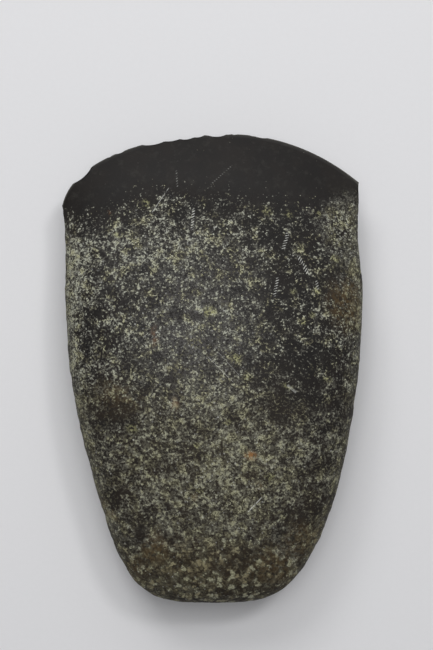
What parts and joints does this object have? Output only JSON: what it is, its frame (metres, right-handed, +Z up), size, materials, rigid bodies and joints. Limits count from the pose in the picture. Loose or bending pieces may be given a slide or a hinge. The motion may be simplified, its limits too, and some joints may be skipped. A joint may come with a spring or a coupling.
{
  "type": "polished stone axe head",
  "caption": "Broad ground and polished stone axe head with a curved cutting edge, domed faces and a blunt pecked butt, lying loose.",
  "frame": {"origin": "middle of the head's box, on the surface that it lies on", "axes": "+X across the blade towards its right corner as seen from above with the cutting edge away from the viewer, +Y from the blunt butt to the cutting edge, +Z up through the thickness"},
  "size_m": [0.0708, 0.11, 0.0265],
  "materials": {
    "stone": "dark ground stone, speckled with pale pecking marks, polished towards the cutting edge"
  },
  "bodies": {
    "root": {"axe_head": "stone"}
  },
  "joints": []
}
